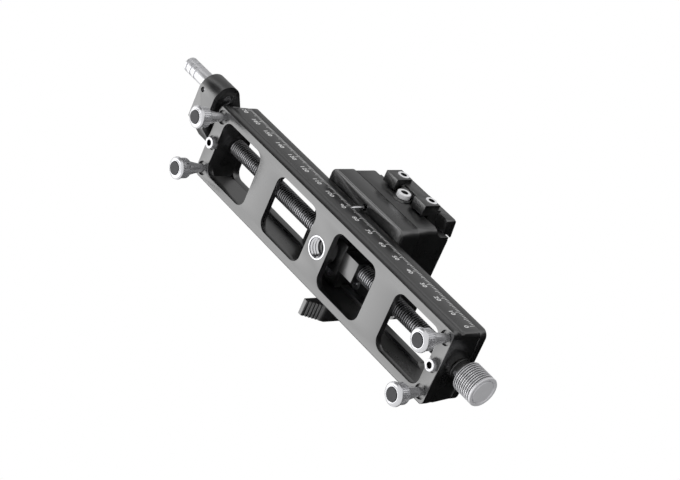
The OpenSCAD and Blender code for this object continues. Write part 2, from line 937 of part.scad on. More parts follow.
module clamp_block() {
    color(black_alloy)
    difference() {
        union() {
            intersection() {
                at_carriage()
                    along_x(block_l)
                        block_profile();
                at_carriage()
                    translate([0, 0, block_z - cut])
                        rounded_bar(block_l, block_w, carriage_r, block_h + waist_h + 2 * cut);
            }
            translate([carriage_x, 0, shaft_z])
                rod_y(-car_hw - dome_boss_t, -car_hw + edge, dome_boss_r);
        }
        translate([carriage_x - pocket_hw, waist_hw - tongue_gap / 2, pocket_z])
            cube([2 * pocket_hw, scoop_r + cut + tongue_gap, seat_z - pocket_z + cut]);
        translate([carriage_x, 0, shaft_z]) {
            rod_y(-car_hw - 2 * cut, car_hw, shaft_r + fit);
            rod_y(spring_y0, car_hw, spring_well_r);
        }
        at_car_screws(block_z - cut)
            cylinder(h = car_screw_l - carriage_t + 2 * cut, r = m3_r);
        for (sx = [-1, 1]) {
            translate([carriage_x + sx * jaw_screw_pitch / 2, 0, jaw_screw_z])
                rod_y(-car_hw, -car_hw + jaw_screw_l - lug_out, m3_r);
            translate([carriage_x + sx * guide_pin_x, 0, guide_pin_z])
                rod_y(guide_pin_in, car_hw, guide_pin_r);
        }
    }
}

// Jaw lip as (Y, Z), mouth to the right: back, top, undercut and upright land
module lip_profile(z0) {
    polygon([
        [-jaw_out, z0],
        [-mouth_hw, z0],
        [-mouth_hw, seat_z + mouth_land],
        [-lip_hw, seat_z + mouth_land + mouth_hw - lip_hw],
        [-lip_hw, jaw_top - edge],
        [-lip_hw - edge, jaw_top],
        [-jaw_out + edge, jaw_top],
        [-jaw_out, jaw_top - edge]]);
}

// Round corner under the waist, which the fixed jaw clears
module scoop_corner() {
    difference() {
        translate([-car_hw, shelf_z])
            square([scoop_r + cut, scoop_r]);
        translate([-car_hw, shelf_z + scoop_r])
            circle(r = scoop_r - fit);
    }
}

// One lug with the well for a screw head
module lug() {
    translate([-lug_w / 2, -lug_face, lug_z0])
        cube([lug_w, lug_face - car_hw - 2 * air, lug_z1 - lug_z0]);
    translate([-lug_w / 2, -lug_face, apron_z0])
        cube([lug_w, lug_face - waist_hw - cut, lug_z1 - apron_z0]);
}

module fixed_jaw() {
    color(black_alloy)
    difference() {
        union() {
            along_x(jaw_l, carriage_x)
                lip_profile(shoulder_z);
            difference() {
                union() {
                    translate([carriage_x - apron_hl, -apron_face, apron_z0])
                        cube([2 * apron_hl, apron_face - waist_hw, seat_z - apron_z0 + edge]);
                    for (sx = [-1, 1])
                        translate([carriage_x + sx * jaw_screw_pitch / 2, 0, 0])
                            lug();
                }
                translate([carriage_x - jaw_l, -car_hw - air, shelf_z - 4 * air])
                    cube([2 * jaw_l, 2 * scoop_r, 4 * air + scoop_r * lug_under_share]);
            }
        }
        along_x(jaw_l, carriage_x)
            scoop_corner();
        translate([carriage_x, 0, shaft_z])
            rod_y(-car_hw - dome_boss_t - fit, -waist_hw, dome_boss_r + fit);
        for (sx = [-1, 1])
            translate([carriage_x + sx * jaw_screw_pitch / 2, 0, jaw_screw_z]) {
                rod_y(-lug_face - cut, -lug_face + m3_head_h, m3_head_r + fit);
                rod_y(-lug_face, -waist_hw + cut, m3_r + fit);
            }
    }
}

module fixed_jaw_screws() {
    color(polished)
    for (sx = [-1, 1])
        translate([carriage_x + sx * jaw_screw_pitch / 2, -lug_face + m3_head_h - fit, jaw_screw_z])
            rotate([-90, 0, 0])
                socket_screw(jaw_screw_l - m3_head_h);
}

module jaw_cover() {
    color(dark_alloy)
    translate([carriage_x - cover_hl, -apron_face - cover_t, apron_z0 + edge])
        cube([2 * cover_hl, cover_t, lug_z1 - apron_z0 - edge]);
}

module moving_jaw() {
    color(black_alloy)
    difference() {
        union() {
            mirror([0, 1, 0])
                along_x(jaw_l, carriage_x)
                    lip_profile(shoulder_z + jaw_seat_gap);
            translate([carriage_x - jaw_l / 2, jaw_in, jaw_wall_z])
                cube([jaw_l, jaw_out - jaw_in, seat_z - jaw_wall_z + edge]);
            translate([carriage_x - tongue_hw, jaw_in, pocket_z + tongue_gap])
                cube([2 * tongue_hw, jaw_out - jaw_in, seat_z - pocket_z]);
            translate([carriage_x - jaw_l / 2, jaw_out - edge, apron_z0])
                cube([jaw_l, jaw_rim + edge, jaw_top - rim_top_drop - apron_z0]);
        }
        translate([carriage_x, 0, shaft_z]) {
            rod_y(jaw_in - cut, jaw_out + cut, shaft_r + air);
            rod_y(jaw_out, jaw_out + jaw_rim + cut, rim_bore_r);
        }
        for (sx = [-1, 1])
            translate([carriage_x + sx * guide_pin_x, 0, guide_pin_z])
                rod_y(jaw_in - cut, jaw_out + cut, guide_pin_r + fit);
    }
}

module jaw_guide_pins() {
    color(steel)
    for (sx = [-1, 1])
        translate([carriage_x + sx * guide_pin_x, 0, guide_pin_z])
            rod_y(guide_pin_in, jaw_out - edge, guide_pin_r);
}

// Closed tube swept along points by rings that lie in radial planes of a coil about Y
function coil_point(turn, r, y) = [r * cos(turn), y, r * sin(turn)];

module jaw_spring() {
    length = jaw_in - air - spring_y0 - 2 * spring_wire_r;
    steps = spring_turns * spring_rings;
    rings = [for (i = [0 : steps])
        let (turn = 360 * i / spring_rings, y = spring_y0 + spring_wire_r + length * i / steps)
        [for (k = [0 : spring_sides - 1])
            let (a = 360 * k / spring_sides)
            coil_point(turn, spring_r + spring_wire_r * cos(a), y + spring_wire_r * sin(a))]];
    points = [for (ring = rings) each ring];
    n = spring_sides;
    sides = [for (i = [0 : steps - 1], k = [0 : n - 1])
        let (a = i * n + k, b = i * n + (k + 1) % n)
        each [[a, b, b + n], [a, b + n, a + n]]];
    first = [for (k = [1 : n - 2]) [0, k + 1, k]];
    last = [for (k = [1 : n - 2]) [steps * n, steps * n + k, steps * n + k + 1]];
    color(steel)
    translate([carriage_x, 0, shaft_z])
        polyhedron(points = points, faces = concat(sides, first, last), convexity = 10);
}

// Height of a two-lobed face cam at an angle: a long ramp, then a steep fall
function lobe(a) = let (t = a - 180 * floor(a / 180))
    t < ramp_turn ? t / ramp_turn : (180 - t) / (180 - ramp_turn);

// Ring along +Y whose far face follows the lobes; flip turns it into the mating face
module face_cam(r_in, r_out, base, rise, flip) {
    n = cam_steps;
    function height(i) = let (s = lobe(360 * i / n)) base + rise * (flip ? 1 - s : s);
    points = [for (i = [0 : n - 1])
        let (c = cos(360 * i / n), s = sin(360 * i / n), h = height(i))
        each [[r_in * c, 0, r_in * s], [r_out * c, 0, r_out * s],
            [r_out * c, h, r_out * s], [r_in * c, h, r_in * s]]];
    faces = [for (i = [0 : n - 1], k = [0 : 3])
        let (a = 4 * i + k, b = 4 * i + (k + 1) % 4, m = 4 * ((i + 1) % n) - 4 * i)
        each [[a, b, b + m], [a, b + m, a + m]]];
    polyhedron(points = points, faces = faces, convexity = 6);
}

module cam_ring() {
    color(steel)
    translate([carriage_x, jaw_out, shaft_z])
        face_cam(ring_bore_r, ring_r, ring_base, cam_rise, false);
}

module pull_shaft() {
    color(steel)
    translate([carriage_x, 0, shaft_z])
        difference() {
            rod_y(shaft_y0, shaft_y1, shaft_r);
            rod_y(shaft_y0 - cut, shaft_y0 + dome_shank_l, dome_shank_r);
            rod_y(shaft_y1 - cap_shank_l, shaft_y1 + cut, cap_shank_r);
        }
}

module tension_screw() {
    head_y = -car_hw - dome_boss_t;
    color(polished)
    translate([carriage_x, 0, shaft_z])
        difference() {
            union() {
                rod_y(head_y - dome_head_h, head_y, dome_r);
                rod_y(head_y - edge, shaft_y0 + dome_shank_l - edge, dome_shank_r);
            }
            translate([0, head_y - dome_head_h - cut, 0])
                rotate([-90, 0, 0])
                    cylinder(h = dome_socket_d + cut, r = dome_socket_r, $fn = 6);
        }
}

// Lever outline as (X, Z) about the shaft: hub, straight back and sloping thumb face
module lever_outline() {
    hw = lever_w / 2;
    circle(r = lever_hub_r);
    polygon([
        [-hw, 0],
        [-hw, -lever_l],
        [-hw + lever_tip_w, -lever_l],
        [hw, -lever_l + thumb_h],
        [hw, 0]]);
}

module thumb_ridges() {
    run = lever_w - lever_tip_w;
    for (i = [1 : ridge_count])
        let (t = i / (ridge_count + 2))
        translate([lever_tip_w - lever_w / 2 + run * t, 0, -lever_l + thumb_h * t])
            rod_y(lever_y0 - cut, lever_y1 + cut, ridge_r);
}

module clamp_lever() {
    color(black_alloy)
    translate([carriage_x, 0, shaft_z])
        difference() {
            translate([0, lever_y1, 0])
                rotate([90, 0, 0])
                    linear_extrude(height = lever_w)
                        lever_outline();
            rod_y(lever_y0 - cut, hub_face + ring_base, ring_r + air);
            rod_y(lever_y0, lever_y1 + cut, lever_bore_r);
            rod_y(lever_y1 - cap_well_d, lever_y1 + cut, cap_well_r);
            thumb_ridges();
        }
}

module lever_cam() {
    color(steel)
    translate([carriage_x, hub_face + ring_base, shaft_z])
        rotate([0, -lever_turn, 0])
            mirror([0, 1, 0])
                face_cam(ring_bore_r, ring_r, ring_base, cam_rise, true);
}

module lever_cap_screw() {
    color(polished)
    translate([carriage_x, shaft_y1, shaft_z])
        difference() {
            union() {
                rod_y(0, cap_head_t, cap_head_r);
                rod_y(-cap_shank_l + edge, edge, cap_shank_r);
            }
            rotate([-90, 0, 0])
                translate([0, 0, cap_head_t - cap_socket_d])
                    cylinder(h = cap_socket_d + cut, r = cap_socket_r, $fn = 6);
        }
}

rail_body();
guide_plate();
guide_plate_screws();
tripod_insert();
stop_screws();
translate([foot_x, -foot_y, stand_z]) foot();  // foot_knob_scale
translate([foot_x, foot_y, stand_z]) foot();  // foot_knob_lever
translate([-foot_x, -foot_y, stand_z]) foot();  // foot_crank_scale
translate([-foot_x, foot_y, stand_z]) foot();  // foot_crank_lever
translate([foot_x, -foot_y, stand_z]) pad();  // pad_knob_scale
translate([foot_x, foot_y, stand_z]) pad();  // pad_knob_lever
translate([-foot_x, -foot_y, stand_z]) pad();  // pad_crank_scale
translate([-foot_x, foot_y, stand_z]) pad();  // pad_crank_lever
bush_knob_end();
bush_crank_end();
lead_screw();
thrust_collar();
collar_set_screw();
knob();
knob_end_cap();
crank_arm();
crank_set_screws();
handle_axle();
crank_handle();
carriage_plate();
carriage_screws();
slide_shoe();
shoe_screws();
lead_nut();
nut_screws();
index_pin();
clamp_block();
fixed_jaw();
fixed_jaw_screws();
jaw_cover();
moving_jaw();
jaw_guide_pins();
jaw_spring();
cam_ring();
pull_shaft();
tension_screw();
clamp_lever();
lever_cam();
lever_cap_screw();
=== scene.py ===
"""Looks of the macro focusing rail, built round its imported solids."""

from math import atan2, hypot, pi, radians, sin

import bpy
from mathutils import Matrix, Vector


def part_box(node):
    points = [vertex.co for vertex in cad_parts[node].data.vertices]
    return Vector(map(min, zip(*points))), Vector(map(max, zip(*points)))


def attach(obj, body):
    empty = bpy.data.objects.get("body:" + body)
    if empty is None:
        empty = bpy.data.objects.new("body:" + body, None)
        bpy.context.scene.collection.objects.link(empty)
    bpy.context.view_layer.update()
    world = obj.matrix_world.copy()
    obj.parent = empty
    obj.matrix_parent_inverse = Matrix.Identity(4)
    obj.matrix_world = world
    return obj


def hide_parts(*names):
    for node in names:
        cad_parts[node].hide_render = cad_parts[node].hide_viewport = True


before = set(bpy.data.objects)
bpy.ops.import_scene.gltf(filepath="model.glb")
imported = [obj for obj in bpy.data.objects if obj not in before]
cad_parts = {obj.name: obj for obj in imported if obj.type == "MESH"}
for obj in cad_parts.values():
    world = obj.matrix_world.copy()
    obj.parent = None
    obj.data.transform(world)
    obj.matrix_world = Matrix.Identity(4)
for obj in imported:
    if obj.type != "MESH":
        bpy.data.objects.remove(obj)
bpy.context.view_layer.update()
MM = 0.001
# Points closer than this are merged
SEAM = 0.004 * MM
# Edges that turn by more degrees than this are broken
SHARP_EDGE = 34
# Mesh columns for each tooth of the knurl and each rib of a foot
COLUMNS = 4

bl_info = {
    "name": "Macro focusing rail",
    "version": (1, 0, 0),
    "blender": (4, 5, 0),
    "location": "View3D > Sidebar > Focusing Rail",
    "description": "Builds the visible pieces, finishes and studio of a macro focusing rail",
    "category": "Object",
}


class RailSizes(bpy.types.PropertyGroup):
    """Sizes of the details that the solids leave out."""

    edge: bpy.props.FloatProperty(
        name="Edge break", description="Width of the broken edges on the black pieces",
        default=0.2 * MM, unit="LENGTH")
    fine_edge: bpy.props.FloatProperty(
        name="Fine edge break", description="Width of the broken edges on small screws and bright trim",
        default=0.16 * MM, unit="LENGTH")
    small_edge: bpy.props.FloatProperty(
        name="Small edge break", description="Width of the broken edges on the smallest screws and pins",
        default=0.1 * MM, unit="LENGTH")
    pitch: bpy.props.FloatProperty(
        name="Screw pitch", description="Distance from thread to thread on the lead screw",
        default=1.25 * MM, unit="LENGTH")
    thread_depth: bpy.props.FloatProperty(
        name="Thread depth", description="Depth of the lead screw's thread",
        default=0.62 * MM, unit="LENGTH")
    knurl_teeth: bpy.props.IntProperty(
        name="Knurl teeth", description="Teeth round the knob", default=54, min=12, max=90)
    foot_ribs: bpy.props.IntProperty(
        name="Foot ribs", description="Ribs round the grip of a foot", default=36, min=12, max=60)
    digit_height: bpy.props.FloatProperty(
        name="Figure height", description="Height of the scale's figures",
        default=2.3 * MM, unit="LENGTH")
    scale_length: bpy.props.IntProperty(
        name="Scale length", description="Last millimetre of the scale", default=170, min=10, max=170)
    tick_width: bpy.props.FloatProperty(
        name="Tick width", description="Width of a tick of the millimetre scale",
        default=0.22 * MM, unit="LENGTH")


class RailColours(bpy.types.PropertyGroup):
    """Colours and gloss of the finishes."""

    anodised: bpy.props.FloatVectorProperty(
        name="Anodised", description="Satin black anodised aluminium",
        default=(0.0035, 0.0035, 0.0038), size=3, subtype="COLOR", min=0, max=1)
    anodised_gloss: bpy.props.FloatProperty(
        name="Anodised roughness", description="Roughness of the black finish",
        default=0.3, min=0, max=1, subtype="FACTOR")
    polished: bpy.props.FloatVectorProperty(
        name="Polished", description="Turned and polished steel",
        default=(0.66, 0.66, 0.68), size=3, subtype="COLOR", min=0, max=1)
    steel: bpy.props.FloatVectorProperty(
        name="Screw steel", description="Plain machined steel",
        default=(0.42, 0.42, 0.44), size=3, subtype="COLOR", min=0, max=1)
    rubber: bpy.props.FloatVectorProperty(
        name="Rubber", description="Pads of the feet",
        default=(0.04, 0.04, 0.043), size=3, subtype="COLOR", min=0, max=1)
    marks: bpy.props.FloatVectorProperty(
        name="Scale marks", description="White filling of the scale",
        default=(0.86, 0.86, 0.86), size=3, subtype="COLOR", min=0, max=1)


class RailStudio(bpy.types.PropertyGroup):
    """Light and ground of the studio."""

    window_light: bpy.props.FloatProperty(
        name="Base light", description="Power of the soft light under the base", default=6.2,
        min=0, unit="POWER")
    top_light: bpy.props.FloatProperty(
        name="Top light", description="Power of the soft light over the clamp", default=3.0,
        min=0, unit="POWER")
    room: bpy.props.FloatProperty(
        name="Room", description="Level of the light from all round", default=0.8, min=0, max=1)
    floor: bpy.props.FloatVectorProperty(
        name="Floor", description="Colour of the floor",
        default=(0.9, 0.9, 0.9), size=3, subtype="COLOR", min=0, max=1)


class Signal:
    """A number socket that Python's own signs work on."""

    def __init__(self, tree, socket):
        self.tree = tree
        self.socket = socket

    def maths(self, operation, *items):
        node = self.tree.nodes.new("ShaderNodeMath")
        node.operation = operation
        for place, item in zip(node.inputs, items):
            if isinstance(item, Signal):
                self.tree.links.new(item.socket, place)
            else:
                place.default_value = item
        return Signal(self.tree, node.outputs[0])

    def __add__(self, other):
        return self.maths("ADD", self, other)

    def __radd__(self, other):
        return self.maths("ADD", other, self)

    def __sub__(self, other):
        return self.maths("SUBTRACT", self, other)

    def __rsub__(self, other):
        return self.maths("SUBTRACT", other, self)

    def __mul__(self, other):
        return self.maths("MULTIPLY", self, other)

    def __rmul__(self, other):
        return self.maths("MULTIPLY", other, self)

    def size(self):
        return self.maths("ABSOLUTE", self)

    def sine(self):
        return self.maths("SINE", self)

    def root(self):
        return self.maths("SQRT", self)

    def held(self):
        """Kept between 0 and 1."""
        return self.maths("MAXIMUM", 0.0, self.maths("MINIMUM", 1.0, self))


class Finish:
    """A material with a Principled shader, and one method that adds any other node."""

    def __init__(self, name, colour, roughness, metallic=0.0):
        self.material = bpy.data.materials.new(name)
        self.material.use_nodes = True
        self.tree = self.material.node_tree
        self.shader = self.tree.nodes["Principled BSDF"]
        self.shader.inputs["Base Color"].default_value = (*colour, 1)
        self.shader.inputs["Roughness"].default_value = roughness
        self.shader.inputs["Metallic"].default_value = metallic
        self.place = self.node("TexCoord").outputs["Object"]

    def node(self, kind, settings=(), sockets=()):
        made = self.tree.nodes.new("ShaderNode" + kind)
        for key, value in dict(settings).items():
            setattr(made, key, value)
        for key, value in dict(sockets).items():
            self.feed(made.inputs[key], value)
        return made

    def feed(self, place, value):
        if isinstance(value, Signal):
            value = value.socket
        if isinstance(value, bpy.types.NodeSocket):
            self.tree.links.new(value, place)
        else:
            place.default_value = value

    def noise(self, scale, detail=2.0, stretch=(1, 1, 1)):
        """Noise round 0, with features of 1 / scale metres."""
        where = self.node("Mapping", {}, {"Vector": self.place, "Scale": stretch}).outputs[0]
        made = self.node("TexNoise", {}, {"Vector": where, "Scale": scale, "Detail": detail})
        return Signal(self.tree, made.outputs[0]) - 0.5

    def from_axis(self, axis, point, apart=0.0):
        """Distance in metres along and from an axis through a point, or from two that stand apart along X."""
        where = self.node("Mapping", {}, {"Vector": self.place, "Location": [-c for c in point]}).outputs[0]
        parts = self.node("SeparateXYZ", {}, {"Vector": where})
        x, y, z = (Signal(self.tree, parts.outputs[i]) for i in range(3))
        if apart:
            x = x.size() - apart / 2
        along, p, q = {"X": (x, y, z), "Y": (y, x, z), "Z": (z, x, y)}[axis]
        return along, (p * p + q * q).root()

    def tint(self, colour, other, share):
        """Base colour that goes from one colour to the other with share."""
        mix = self.node("Mix", {"data_type": "RGBA"})
        self.feed(mix.inputs["Factor"], share)
        self.feed(mix.inputs[6], (*colour, 1))
        self.feed(mix.inputs[7], (*other, 1))
        self.tree.links.new(mix.outputs[2], self.shader.inputs["Base Color"])

    def rough(self, value):
        self.feed(self.shader.inputs["Roughness"], value)

    def bump(self, height, strength, distance):
        made = self.node("Bump", {}, {"Height": height, "Strength": strength, "Distance": distance})
        self.tree.links.new(made.outputs[0], self.shader.inputs["Normal"])


def anodised(name, colour, roughness):
    """Bead-blasted aluminium, anodised black: a fine grain under a thin hard skin."""
    finish = Finish(name, colour, roughness)
    finish.shader.inputs["IOR"].default_value = 1.8
    finish.shader.inputs["Specular IOR Level"].default_value = 0.75
    grain = finish.noise(5200, 3)
    cloud = finish.noise(70, 3)
    worn = tuple(min(1, 2.1 * c + 0.001) for c in colour)
    finish.tint(colour, worn, 0.35 + 0.7 * cloud + 0.5 * grain)
    finish.rough(roughness + 0.12 * cloud + 0.1 * grain)
    finish.bump(grain, 0.35, 0.03 * MM)
    return finish.material


def turned(name, colour, roughness, axis, point, metallic=1.0, crest=0.0, depth=0.0):
    """Metal off the lathe, polished: faint tool rings, and painted shade that darkens the grooves below a
    crest radius.
    """
    finish = Finish(name, colour, roughness, metallic)
    along, away = finish.from_axis(axis, point)
    rings = (away * 42000).sine() + (along * 30000).sine()
    smear = finish.noise(240, 2)
    if depth:
        # Painted shade: below the crest radius the colour goes almost black, fully so one depth down, in the
        # grooves.
        groove_shade = ((crest - away) * (1 / depth)).held()
        finish.tint(colour, tuple(c * 0.05 for c in colour), 0.08 + 0.3 * smear + groove_shade)
    else:
        finish.tint(colour, tuple(c * 0.86 for c in colour), 0.4 + 0.8 * smear)
    finish.rough(roughness + 0.1 * smear + 0.02 * rings)
    finish.bump(rings, 0.06, 0.01 * MM)
    return finish.material


def socketed(name, colour, roughness, metallic, axis, point, socket, apart):
    """Screw steel with painted shade, a dark round patch over the hexagon socket, on one screw or on two that
    stand apart along X.
    """
    finish = Finish(name, colour, roughness, metallic)
    away = finish.from_axis(axis, point, apart)[1]
    # Painted shade: a round patch of the socket's radius goes almost black where the hexagon socket lies.
    inside = ((socket - away) * (1 / (0.1 * MM))).held()
    smear = finish.noise(240, 2)
    finish.tint(colour, tuple(c * 0.02 for c in colour), 0.1 + 0.3 * smear + inside)
    finish.rough(roughness + 0.1 * smear)
    finish.bump(smear, 0.05, 0.01 * MM)
    return finish.material


def machined(name, colour, roughness):
    """Plain machined metal with a fine directionless grain."""
    finish = Finish(name, colour, roughness, 1.0)
    grain = finish.noise(2600, 3)
    cloud = finish.noise(150, 2)
    finish.tint(colour, tuple(c * 0.8 for c in colour), 0.4 + 0.8 * cloud)
    finish.rough(roughness + 0.16 * cloud + 0.1 * grain)
    finish.bump(grain, 0.12, 0.02 * MM)
    return finish.material


def rubber(name, colour):
    """Moulded rubber with a matt skin."""
    finish = Finish(name, colour, 0.8)
    skin = finish.noise(3000, 4)
    dust = finish.noise(400, 3)
    finish.tint(colour, tuple(1.5 * c for c in colour), 0.4 + dust)
    finish.rough(0.78 + 0.2 * skin)
    finish.bump(skin, 0.5, 0.04 * MM)
    return finish.material


def filled_paint(name, colour):
    """White paint in engraved marks, a little uneven."""
    finish = Finish(name, colour, 0.55)
    patch = finish.noise(1500, 3)
    finish.tint(colour, tuple(c * 0.72 for c in colour), 0.3 + 1.2 * patch)
    finish.rough(0.55 + 0.2 * patch)
    finish.bump(patch, 0.2, 0.01 * MM)
    return finish.material


FINISHES = {}


def finish_of(key, make, *settings, **more):
    """One material for each key, made when it is first asked for."""
    if key not in FINISHES:
        FINISHES[key] = make(key, *settings, **more)
    return FINISHES[key]


def black():
    """The black finish of the rail, the carriage and the clamp."""
    colours = bpy.context.scene.rail_colours
    return finish_of("anodised_black", anodised, tuple(colours.anodised), colours.anodised_gloss)


def steel():
    """The plain steel of the small screws and inner pieces."""
    return finish_of("screw_steel", machined, tuple(bpy.context.scene.rail_colours.steel), 0.3)


def bright(key, axis, point, roughness=0.2, **more):
    """Polished metal turned about an axis through a point."""
    colour = tuple(bpy.context.scene.rail_colours.polished)
    return finish_of(key, turned, colour, roughness, axis, point, **more)


def paint(piece, material):
    """Gives a piece one material all over."""
    piece.data.materials.clear()
    piece.data.materials.append(material)


def only(piece, *others):
    """Selects one piece, with others that join it, and nothing else."""
    bpy.ops.object.select_all(action="DESELECT")
    bpy.context.view_layer.objects.active = piece
    for one in (piece, *others):
        one.select_set(True)


def joined(pieces):
    """Joins pieces to the first of them."""
    only(*pieces)
    bpy.ops.object.join()
    return bpy.context.object


def edit(piece, kind="VERT"):
    """Edit mode on one piece with nothing selected."""
    only(piece)
    bpy.ops.object.mode_set(mode="EDIT")
    bpy.ops.mesh.select_mode(type=kind)
    bpy.ops.mesh.select_all(action="DESELECT")


def leave():
    """Back to object mode."""
    bpy.ops.object.mode_set(mode="OBJECT")


def pick(piece, wanted, kind="vertices"):
    """Selects the piece's vertices, edges or faces for which wanted is true, and stays in edit mode."""
    leave()
    for item in getattr(piece.data, kind):
        item.select = bool(wanted(item))
    bpy.ops.object.mode_set(mode="EDIT")


def settle(piece, name, body, material, slot, *nodes, smooth=32):
    """Gives a finished mesh its place, name, finish and body, and hides the solids it stands for."""
    only(piece)
    bpy.ops.object.transform_apply(location=True, rotation=True, scale=True)
    bpy.ops.object.shade_smooth_by_angle(angle=radians(smooth))
    piece.name = name
    piece.data.name = name
    paint(piece, material)
    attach(piece, body)
    if nodes:
        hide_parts(*nodes)


def broken_edges(node, body, material, slot, width, segments=2, before=None):
    """A merged copy of a solid's mesh with its sharp edges broken, which stands for the solid."""
    piece = bpy.data.objects.new(node + "_shell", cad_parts[node].data.copy())
    bpy.context.scene.collection.objects.link(piece)
    edit(piece)
    bpy.ops.mesh.select_all(action="SELECT")
    bpy.ops.mesh.remove_doubles(threshold=SEAM / 2)
    bpy.ops.mesh.dissolve_limited(angle_limit=radians(0.6))
    leave()
    if before:
        before(piece)
    if piece.data.has_custom_normals:
        bpy.ops.mesh.customdata_custom_splitnormals_clear()
    bevel = piece.modifiers.new("edge", "BEVEL")
    bevel.width = width
    bevel.segments = segments
    bevel.limit_method = "ANGLE"
    bevel.angle_limit = radians(SHARP_EDGE)
    bevel.use_clamp_overlap = True
    bevel.miter_outer = "MITER_ARC"
    bpy.ops.object.modifier_apply(modifier="edge")
    settle(piece, piece.name, body, material, slot, node)


def round_corners(piece, low, high, radius, outer=False):
    """Rounds a box's upright corners, or only those away from the rail's middle plane, in millimetres."""
    half_x, half_y = (high[0] - low[0]) / 2, (high[1] - low[1]) / 2
    mid_x, mid_y = (high[0] + low[0]) / 2, (high[1] + low[1]) / 2
    steps, slack = 5, 0.01
    edit(piece)
    for side in (-1, 1):
        for step in range(steps):
            cut = mid_x + side * (half_x - radius * (1 - sin(pi / 2 * step / steps)))
            bpy.ops.mesh.select_all(action="SELECT")
            bpy.ops.mesh.bisect(plane_co=(cut * MM, 0, 0), plane_no=(1, 0, 0))
    leave()
    for vertex in piece.data.vertices:
        x, y, z = vertex.co / MM
        p, q = abs(x - mid_x) - half_x + radius, abs(y - mid_y) - half_y + radius
        if outer and y * mid_y < mid_y * mid_y:
            continue
        if p > 0 and q > 0 and hypot(p, q) > radius and low[2] - slack < z < high[2] + slack:
            inwards = (radius / hypot(p, q) - 1) * MM
            vertex.co.x += inwards * (p if x > mid_x else -p)
            vertex.co.y += inwards * (q if y > mid_y else -q)


def strip(points):
    """An open outline through points, ready for a spin or screw."""
    bpy.ops.mesh.primitive_circle_add(vertices=len(points), radius=MM, fill_type="NOTHING")
    piece = bpy.context.object
    for vertex, point in zip(piece.data.vertices, points):
        vertex.co = point
    first, last = 0, len(points) - 1
    edit(piece, "EDGE")
    pick(piece, lambda e: set(e.vertices) == {first, last}, "edges")
    bpy.ops.mesh.delete(type="EDGE_FACE")
    leave()
    return piece


def lathe(profile, axis, centre, steps):
    """Revolves (along, radius) points in millimetres about an axis through centre, given in metres."""
    bpy.ops.object.select_all(action="DESELECT")
    piece = strip([[c * MM for c in ((a, r, 0) if axis == "X" else (r, 0, a))] for a, r in profile])
    piece.location = centre
    edit(piece)
    bpy.ops.mesh.select_all(action="SELECT")
    direction = (1, 0, 0) if axis == "X" else (0, 0, 1)
    bpy.ops.mesh.spin(steps=steps, angle=2 * pi, center=centre, axis=direction)
    bpy.ops.mesh.select_all(action="SELECT")
    bpy.ops.mesh.remove_doubles(threshold=SEAM)
    bpy.ops.mesh.normals_make_consistent(inside=False)
    leave()
    return piece


def flute(piece, axis, steps, low, high, share, least):
    """Draws one column in each tooth or rib in to a share of its radius, from low to high along the axis."""
    along, across = (0, (1, 2)) if axis == "X" else (2, (0, 1))

    def in_groove(vertex):
        p, q = (vertex.co[i] for i in across)
        column = round(atan2(q, p) / (2 * pi / steps))
        inside = hypot(p, q) >= least * MM and low * MM <= vertex.co[along] <= high * MM
        return inside and column % COLUMNS == 0

    edit(piece)
    pick(piece, in_groove)
    size = (1, share, share) if axis == "X" else (share, share, 1)
    bpy.ops.transform.resize(value=size, center_override=piece.location)
    leave()


def box_of(node):
    """Lowest and highest corner of a solid, in millimetres."""
    low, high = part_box(node)
    return Vector([c / MM for c in low]), Vector([c / MM for c in high])


def centre_of(node):
    """Middle of a solid's box, in millimetres."""
    low, high = box_of(node)
    return (low + high) / 2


class FOCUSRAIL_OT_channel(bpy.types.Operator):
    """Rail body and guide plate with broken edges"""

    bl_idname = "focusrail.channel"
    bl_label = "Rail channel"

    def execute(self, context):
        sizes = context.scene.rail_sizes
        low, high = box_of("guide_plate")
        groove_top, corner = 6.8, 3.5
        low[2], high[2] = groove_top, low[2]
        broken_edges(
            "rail_body", "rail", black(), "black_alloy", sizes.edge,
            before=lambda piece: round_corners(piece, low, high, corner))
        broken_edges("guide_plate", "rail", black(), "dark_alloy", sizes.edge)
        return {"FINISHED"}


class FOCUSRAIL_OT_scale(bpy.types.Operator):
    """Millimetre scale: ticks and figures on the rail's side face"""

    bl_idname = "focusrail.scale"
    bl_label = "Millimetre scale"

    def execute(self, context):
        sizes = context.scene.rail_sizes
        high = box_of("rail_body")[1]
        face_y = box_of("guide_plate")[0][1]
        top, zero_x = high[2] - 0.35, high[0] - 5.1
        label_z = top - 4.95
        long, middle, short = 2.9, 2.1, 1.35
        proud = 0.02 * MM
        white = finish_of("scale_white", filled_paint, tuple(context.scene.rail_colours.marks))
        bpy.ops.object.select_all(action="DESELECT")
        bpy.ops.mesh.primitive_cube_add(size=1)
        tick = bpy.context.object
        ticks = []
        for mm in range(sizes.scale_length + 1):
            length = long if mm % 10 == 0 else middle if mm % 5 == 0 else short
            one = tick.copy()
            one.data = tick.data.copy()
            context.scene.collection.objects.link(one)
            one.scale = (sizes.tick_width, 2 * proud, length * MM)
            one.location = ((zero_x - mm) * MM, face_y * MM, (top - length / 2) * MM)
            ticks.append(one)
        marks = joined(ticks)
        bpy.data.objects.remove(tick)
        settle(marks, "scale_ticks", "rail", white, None)
        figures = [
            self.add_figure(mm, ((zero_x - mm) * MM, face_y * MM, label_z * MM), sizes.digit_height, proud)
            for mm in range(0, sizes.scale_length + 1, 10)]
        settle(joined(figures), "scale_figures", "rail", white, None)
        return {"FINISHED"}

    def add_figure(self, number, place, height, proud):
        """A number on the side face, turned to face away from the rail."""
        capital_share = 0.7
        bpy.ops.object.select_all(action="DESELECT")
        bpy.ops.object.text_add()
        text = bpy.context.object.data
        text.body = str(number)
        text.size = height / capital_share
        text.align_x = text.align_y = "CENTER"
        text.extrude = proud
        text.offset = 0.035 * MM
        text.space_character = 1.08
        bpy.ops.object.convert(target="MESH")
        figure = bpy.context.object
        figure.rotation_euler = (pi / 2, 0, 0)
        figure.location = place
        bpy.ops.object.transform_apply(location=True, rotation=True, scale=True)
        return figure


